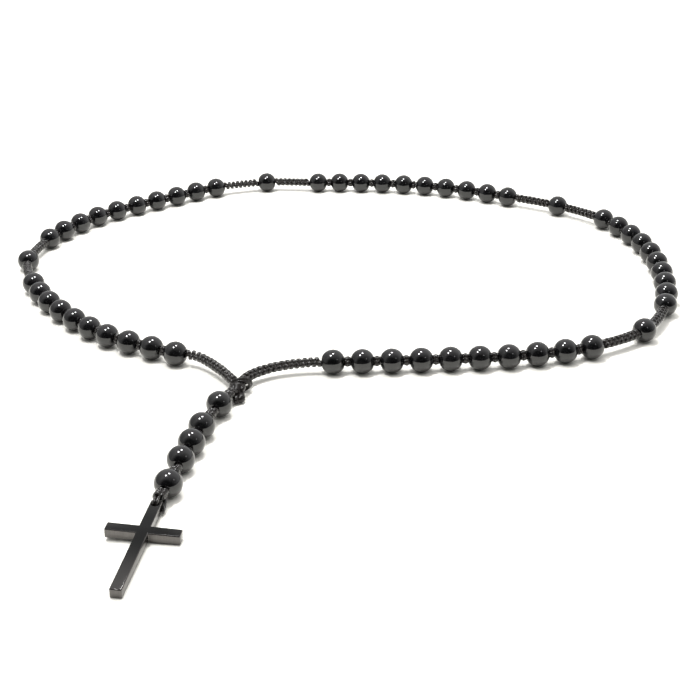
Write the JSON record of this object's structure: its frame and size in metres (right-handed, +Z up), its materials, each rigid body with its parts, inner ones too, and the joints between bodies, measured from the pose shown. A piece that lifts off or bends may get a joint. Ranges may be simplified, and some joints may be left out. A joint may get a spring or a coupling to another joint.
{
  "type": "rosary",
  "caption": "Rosary with round black stone beads on knotted black cord: an oval loop of decades set apart by Our Father beads, a centre knot, a short drop and a plain dark metal cross",
  "frame": {"origin": "bottom centre of the bounding box, on the table that the rosary lies on", "axes": "+Z up out of the table, +Y from the cross end towards the back of the loop, +X to the right of the drop"},
  "size_m": [0.2437, 0.2886, 0.008],
  "materials": {
    "bead": "polished black stone, glossy",
    "cord": "waxed braided nylon cord, satin",
    "cross": "dark gunmetal, polished with fine brush lines"
  },
  "bodies": {
    "right_front": {"right_front_string": "cord"},
    "right_back": {"right_back_string": "cord"},
    "left_front": {"left_front_string": "cord"},
    "left_back": {"left_back_string": "cord"},
    "drop": {"drop_string": "cord"},
    "cross": {"cross": "cross"},
    "decade_1_bead_1": {"decade_1_bead_1": "bead"},
    "decade_1_bead_2": {"decade_1_bead_2": "bead"},
    "decade_1_bead_3": {"decade_1_bead_3": "bead"},
    "decade_1_bead_4": {"decade_1_bead_4": "bead"},
    "decade_1_bead_5": {"decade_1_bead_5": "bead"},
    "decade_1_bead_6": {"decade_1_bead_6": "bead"},
    "decade_1_bead_7": {"decade_1_bead_7": "bead"},
    "decade_1_bead_8": {"decade_1_bead_8": "bead"},
    "decade_1_bead_9": {"decade_1_bead_9": "bead"},
    "decade_1_bead_10": {"decade_1_bead_10": "bead"},
    "our_father_bead_1": {"our_father_bead_1": "bead"},
    "decade_2_bead_1": {"decade_2_bead_1": "bead"},
    "decade_2_bead_2": {"decade_2_bead_2": "bead"},
    "decade_2_bead_3": {"decade_2_bead_3": "bead"},
    "decade_2_bead_4": {"decade_2_bead_4": "bead"},
    "decade_2_bead_5": {"decade_2_bead_5": "bead"},
    "decade_2_bead_6": {"decade_2_bead_6": "bead"},
    "decade_2_bead_7": {"decade_2_bead_7": "bead"},
    "decade_2_bead_8": {"decade_2_bead_8": "bead"},
    "decade_2_bead_9": {"decade_2_bead_9": "bead"},
    "decade_2_bead_10": {"decade_2_bead_10": "bead"},
    "our_father_bead_2": {"our_father_bead_2": "bead"},
    "decade_3_bead_1": {"decade_3_bead_1": "bead"},
    "decade_3_bead_2": {"decade_3_bead_2": "bead"},
    "decade_3_bead_3": {"decade_3_bead_3": "bead"},
    "decade_3_bead_4": {"decade_3_bead_4": "bead"},
    "decade_3_bead_5": {"decade_3_bead_5": "bead"},
    "decade_3_bead_6": {"decade_3_bead_6": "bead"},
    "decade_3_bead_7": {"decade_3_bead_7": "bead"},
    "decade_3_bead_8": {"decade_3_bead_8": "bead"},
    "decade_3_bead_9": {"decade_3_bead_9": "bead"},
    "decade_3_bead_10": {"decade_3_bead_10": "bead"},
    "our_father_bead_3": {"our_father_bead_3": "bead"},
    "decade_4_bead_1": {"decade_4_bead_1": "bead"},
    "decade_4_bead_2": {"decade_4_bead_2": "bead"},
    "decade_4_bead_3": {"decade_4_bead_3": "bead"},
    "decade_4_bead_4": {"decade_4_bead_4": "bead"},
    "decade_4_bead_5": {"decade_4_bead_5": "bead"},
    "decade_4_bead_6": {"decade_4_bead_6": "bead"},
    "decade_4_bead_7": {"decade_4_bead_7": "bead"},
    "decade_4_bead_8": {"decade_4_bead_8": "bead"},
    "decade_4_bead_9": {"decade_4_bead_9": "bead"},
    "decade_4_bead_10": {"decade_4_bead_10": "bead"},
    "our_father_bead_4": {"our_father_bead_4": "bead"},
    "decade_5_bead_1": {"decade_5_bead_1": "bead"},
    "decade_5_bead_2": {"decade_5_bead_2": "bead"},
    "decade_5_bead_3": {"decade_5_bead_3": "bead"},
    "decade_5_bead_4": {"decade_5_bead_4": "bead"},
    "decade_5_bead_5": {"decade_5_bead_5": "bead"},
    "decade_5_bead_6": {"decade_5_bead_6": "bead"},
    "decade_5_bead_7": {"decade_5_bead_7": "bead"},
    "decade_5_bead_8": {"decade_5_bead_8": "bead"},
    "decade_5_bead_9": {"decade_5_bead_9": "bead"},
    "decade_5_bead_10": {"decade_5_bead_10": "bead"}
  },
  "joints": [
    {"name": "arm_spread", "type": "hinge", "parent": "right_front", "child": "left_front", "pos_m": [-0.03102, -0.04489, 0.004], "axis": [0, 0, 1], "range_deg": [-15, 15]},
    {"name": "right_bend", "type": "hinge", "parent": "right_front", "child": "right_back", "pos_m": [0.11765, 0.05243, 0.004], "axis": [0, 0, 1], "range_deg": [-15, 15]},
    {"name": "left_bend", "type": "hinge", "parent": "left_front", "child": "left_back", "pos_m": [-0.11144, 0.03399, 0.004], "axis": [0, 0, 1], "range_deg": [-15, 15]},
    {"name": "drop_swing", "type": "hinge", "parent": "right_front", "child": "drop", "pos_m": [-0.031, -0.045, 0.003], "axis": [0, 0, 1], "range_deg": [-60, 60]},
    {"name": "cross_swing", "type": "hinge", "parent": "drop", "child": "cross", "pos_m": [-0.04853, -0.11012, 0.0022], "axis": [-0.0033, -0.0224, 0.9997], "range_deg": [-90, 90]},
    {"name": "decade_1_bead_1_spin", "type": "hinge", "parent": "right_front", "child": "decade_1_bead_1", "pos_m": [-0.00198, -0.03199, 0.004], "axis": [0.9999, 0.0122, 0], "continuous": true},
    {"name": "decade_1_bead_2_spin", "type": "hinge", "parent": "right_front", "child": "decade_1_bead_2", "pos_m": [0.0074, -0.032, 0.004], "axis": [1, -0.0061, 0], "continuous": true},
    {"name": "decade_1_bead_3_spin", "type": "hinge", "parent": "right_front", "child": "decade_1_bead_3", "pos_m": [0.01678, -0.03199, 0.004], "axis": [0.9999, 0.0136, 0], "continuous": true},
    {"name": "decade_1_bead_4_spin", "type": "hinge", "parent": "right_front", "child": "decade_1_bead_4", "pos_m": [0.02616, -0.0318, 0.004], "axis": [0.9996, 0.0278, 0], "continuous": true},
    {"name": "decade_1_bead_5_spin", "type": "hinge", "parent": "right_front", "child": "decade_1_bead_5", "pos_m": [0.03553, -0.03148, 0.004], "axis": [0.9993, 0.0382, 0], "continuous": true},
    {"name": "decade_1_bead_6_spin", "type": "hinge", "parent": "right_front", "child": "decade_1_bead_6", "pos_m": [0.04491, -0.03114, 0.004], "axis": [0.999, 0.0438, 0], "continuous": true},
    {"name": "decade_1_bead_7_spin", "type": "hinge", "parent": "right_front", "child": "decade_1_bead_7", "pos_m": [0.05426, -0.03047, 0.004], "axis": [0.9942, 0.1077, 0], "continuous": true},
    {"name": "decade_1_bead_8_spin", "type": "hinge", "parent": "right_front", "child": "decade_1_bead_8", "pos_m": [0.06355, -0.02919, 0.004], "axis": [0.9869, 0.1615, 0], "continuous": true},
    {"name": "decade_1_bead_9_spin", "type": "hinge", "parent": "right_front", "child": "decade_1_bead_9", "pos_m": [0.07277, -0.02744, 0.004], "axis": [0.9775, 0.2111, 0], "continuous": true},
    {"name": "decade_1_bead_10_spin", "type": "hinge", "parent": "right_front", "child": "decade_1_bead_10", "pos_m": [0.08177, -0.02489, 0.004], "axis": [0.9201, 0.3918, 0], "continuous": true},
    {"name": "our_father_bead_1_spin", "type": "hinge", "parent": "right_front", "child": "our_father_bead_1", "pos_m": [0.10117, -0.01334, 0.004], "axis": [0.709, 0.7052, 0], "continuous": true},
    {"name": "decade_2_bead_1_spin", "type": "hinge", "parent": "right_front", "child": "decade_2_bead_1", "pos_m": [0.11263, 0.00607, 0.004], "axis": [0.3444, 0.9388, 0], "continuous": true},
    {"name": "decade_2_bead_2_spin", "type": "hinge", "parent": "right_front", "child": "decade_2_bead_2", "pos_m": [0.11509, 0.01512, 0.004], "axis": [0.1968, 0.9804, 0], "continuous": true},
    {"name": "decade_2_bead_3_spin", "type": "hinge", "parent": "right_front", "child": "decade_2_bead_3", "pos_m": [0.11665, 0.02437, 0.004], "axis": [0.1484, 0.9889, 0], "continuous": true},
    {"name": "decade_2_bead_4_spin", "type": "hinge", "parent": "right_front", "child": "decade_2_bead_4", "pos_m": [0.11769, 0.03368, 0.004], "axis": [0.0735, 0.9973, 0], "continuous": true},
    {"name": "decade_2_bead_5_spin", "type": "hinge", "parent": "right_front", "child": "decade_2_bead_5", "pos_m": [0.11802, 0.04306, 0.004], "axis": [-0.0047, 1, 0], "continuous": true},
    {"name": "decade_2_bead_6_spin", "type": "hinge", "parent": "right_front", "child": "decade_2_bead_6", "pos_m": [0.11765, 0.05243, 0.004], "axis": [-0.0814, 0.9967, 0], "continuous": true},
    {"name": "decade_2_bead_7_spin", "type": "hinge", "parent": "right_back", "child": "decade_2_bead_7", "pos_m": [0.11639, 0.06172, 0.004], "axis": [-0.1945, 0.9809, 0], "continuous": true},
    {"name": "decade_2_bead_8_spin", "type": "hinge", "parent": "right_back", "child": "decade_2_bead_8", "pos_m": [0.11407, 0.0708, 0.004], "axis": [-0.29, 0.957, 0], "continuous": true},
    {"name": "decade_2_bead_9_spin", "type": "hinge", "parent": "right_back", "child": "decade_2_bead_9", "pos_m": [0.11096, 0.07965, 0.004], "axis": [-0.377, 0.9262, 0], "continuous": true},
    {"name": "decade_2_bead_10_spin", "type": "hinge", "parent": "right_back", "child": "decade_2_bead_10", "pos_m": [0.10659, 0.08791, 0.004], "axis": [-0.5926, 0.8055, 0], "continuous": true},
    {"name": "our_father_bead_2_spin", "type": "hinge", "parent": "right_back", "child": "our_father_bead_2", "pos_m": [0.09061, 0.10395, 0.004], "axis": [-0.7845, 0.6201, 0], "continuous": true},
    {"name": "decade_3_bead_1_spin", "type": "hinge", "parent": "right_back", "child": "decade_3_bead_1", "pos_m": [0.07131, 0.11585, 0.004], "axis": [-0.869, 0.4948, 0], "continuous": true},
    {"name": "decade_3_bead_2_spin", "type": "hinge", "parent": "right_back", "child": "decade_3_bead_2", "pos_m": [0.06313, 0.12046, 0.004], "axis": [-0.8784, 0.4779, 0], "continuous": true},
    {"name": "decade_3_bead_3_spin", "type": "hinge", "parent": "right_back", "child": "decade_3_bead_3", "pos_m": [0.05476, 0.12468, 0.004], "axis": [-0.9093, 0.4162, 0], "continuous": true},
    {"name": "decade_3_bead_4_spin", "type": "hinge", "parent": "right_back", "child": "decade_3_bead_4", "pos_m": [0.04611, 0.1283, 0.004], "axis": [-0.9349, 0.3549, 0], "continuous": true},
    {"name": "decade_3_bead_5_spin", "type": "hinge", "parent": "right_back", "child": "decade_3_bead_5", "pos_m": [0.03723, 0.13131, 0.004], "axis": [-0.9581, 0.2864, 0], "continuous": true},
    {"name": "decade_3_bead_6_spin", "type": "hinge", "parent": "left_back", "child": "decade_3_bead_6", "pos_m": [0.02814, 0.13363, 0.004], "axis": [-0.9772, 0.2122, 0], "continuous": true},
    {"name": "decade_3_bead_7_spin", "type": "hinge", "parent": "left_back", "child": "decade_3_bead_7", "pos_m": [0.01893, 0.13537, 0.004], "axis": [-0.9866, 0.1631, 0], "continuous": true},
    {"name": "decade_3_bead_8_spin", "type": "hinge", "parent": "left_back", "child": "decade_3_bead_8", "pos_m": [0.00963, 0.13661, 0.004], "axis": [-0.9944, 0.1055, 0], "continuous": true},
    {"name": "decade_3_bead_9_spin", "type": "hinge", "parent": "left_back", "child": "decade_3_bead_9", "pos_m": [0.00029, 0.13746, 0.004], "axis": [-0.9968, 0.0805, 0], "continuous": true},
    {"name": "decade_3_bead_10_spin", "type": "hinge", "parent": "left_back", "child": "decade_3_bead_10", "pos_m": [-0.00908, 0.13797, 0.004], "axis": [-0.9986, 0.0536, 0], "continuous": true},
    {"name": "our_father_bead_3_spin", "type": "hinge", "parent": "left_back", "child": "our_father_bead_3", "pos_m": [-0.03169, 0.1396, 0.004], "axis": [-0.9971, -0.0761, 0], "continuous": true},
    {"name": "decade_4_bead_1_spin", "type": "hinge", "parent": "left_back", "child": "decade_4_bead_1", "pos_m": [-0.05352, 0.13373, 0.004], "axis": [-0.9193, -0.3935, 0], "continuous": true},
    {"name": "decade_4_bead_2_spin", "type": "hinge", "parent": "left_back", "child": "decade_4_bead_2", "pos_m": [-0.06174, 0.12924, 0.004], "axis": [-0.8378, -0.546, 0], "continuous": true},
    {"name": "decade_4_bead_3_spin", "type": "hinge", "parent": "left_back", "child": "decade_4_bead_3", "pos_m": [-0.06953, 0.12401, 0.004], "axis": [-0.8395, -0.5434, 0], "continuous": true},
    {"name": "decade_4_bead_4_spin", "type": "hinge", "parent": "left_back", "child": "decade_4_bead_4", "pos_m": [-0.07738, 0.11889, 0.004], "axis": [-0.8313, -0.5558, 0], "continuous": true},
    {"name": "decade_4_bead_5_spin", "type": "hinge", "parent": "left_back", "child": "decade_4_bead_5", "pos_m": [-0.08506, 0.11349, 0.004], "axis": [-0.8013, -0.5983, 0], "continuous": true},
    {"name": "decade_4_bead_6_spin", "type": "hinge", "parent": "left_back", "child": "decade_4_bead_6", "pos_m": [-0.09254, 0.10783, 0.004], "axis": [-0.7832, -0.6218, 0], "continuous": true},
    {"name": "decade_4_bead_7_spin", "type": "hinge", "parent": "left_back", "child": "decade_4_bead_7", "pos_m": [-0.09949, 0.10154, 0.004], "axis": [-0.6809, -0.7324, 0], "continuous": true},
    {"name": "decade_4_bead_8_spin", "type": "hinge", "parent": "left_back", "child": "decade_4_bead_8", "pos_m": [-0.1053, 0.0942, 0.004], "axis": [-0.5727, -0.8198, 0], "continuous": true},
    {"name": "decade_4_bead_9_spin", "type": "hinge", "parent": "left_back", "child": "decade_4_bead_9", "pos_m": [-0.11035, 0.08629, 0.004], "axis": [-0.5068, -0.8621, 0], "continuous": true},
    {"name": "decade_4_bead_10_spin", "type": "hinge", "parent": "left_back", "child": "decade_4_bead_10", "pos_m": [-0.1144, 0.07786, 0.004], "axis": [-0.2997, -0.954, 0], "continuous": true},
    {"name": "our_father_bead_4_spin", "type": "hinge", "parent": "left_back", "child": "our_father_bead_4", "pos_m": [-0.11808, 0.05556, 0.004], "axis": [0.0455, -0.999, 0], "continuous": true},
    {"name": "decade_5_bead_1_spin", "type": "hinge", "parent": "left_front", "child": "decade_5_bead_1", "pos_m": [-0.11144, 0.03399, 0.004], "axis": [0.403, -0.9152, 0], "continuous": true},
    {"name": "decade_5_bead_2_spin", "type": "hinge", "parent": "left_front", "child": "decade_5_bead_2", "pos_m": [-0.10731, 0.02558, 0.004], "axis": [0.4872, -0.8733, 0], "continuous": true},
    {"name": "decade_5_bead_3_spin", "type": "hinge", "parent": "left_front", "child": "decade_5_bead_3", "pos_m": [-0.1024, 0.01759, 0.004], "axis": [0.5541, -0.8325, 0], "continuous": true},
    {"name": "decade_5_bead_4_spin", "type": "hinge", "parent": "left_front", "child": "decade_5_bead_4", "pos_m": [-0.09688, 0.01, 0.004], "axis": [0.6199, -0.7847, 0], "continuous": true},
    {"name": "decade_5_bead_5_spin", "type": "hinge", "parent": "left_front", "child": "decade_5_bead_5", "pos_m": [-0.09082, 0.00285, 0.004], "axis": [0.6701, -0.7423, 0], "continuous": true},
    {"name": "decade_5_bead_6_spin", "type": "hinge", "parent": "left_front", "child": "decade_5_bead_6", "pos_m": [-0.08438, -0.00397, 0.004], "axis": [0.7086, -0.7056, 0], "continuous": true},
    {"name": "decade_5_bead_7_spin", "type": "hinge", "parent": "left_front", "child": "decade_5_bead_7", "pos_m": [-0.07738, -0.01021, 0.004], "axis": [0.7899, -0.6133, 0], "continuous": true},
    {"name": "decade_5_bead_8_spin", "type": "hinge", "parent": "left_front", "child": "decade_5_bead_8", "pos_m": [-0.06953, -0.01532, 0.004], "axis": [0.868, -0.4966, 0], "continuous": true},
    {"name": "decade_5_bead_9_spin", "type": "hinge", "parent": "left_front", "child": "decade_5_bead_9", "pos_m": [-0.0613, -0.01983, 0.004], "axis": [0.8744, -0.4851, 0], "continuous": true},
    {"name": "decade_5_bead_10_spin", "type": "hinge", "parent": "left_front", "child": "decade_5_bead_10", "pos_m": [-0.05301, -0.0242, 0.004], "axis": [0.9325, -0.361, 0], "continuous": true}
  ],
  "couplings": [
    {"joint": "right_bend", "follows": "arm_spread", "ratio": 1},
    {"joint": "left_bend", "follows": "arm_spread", "ratio": -1}
  ]
}
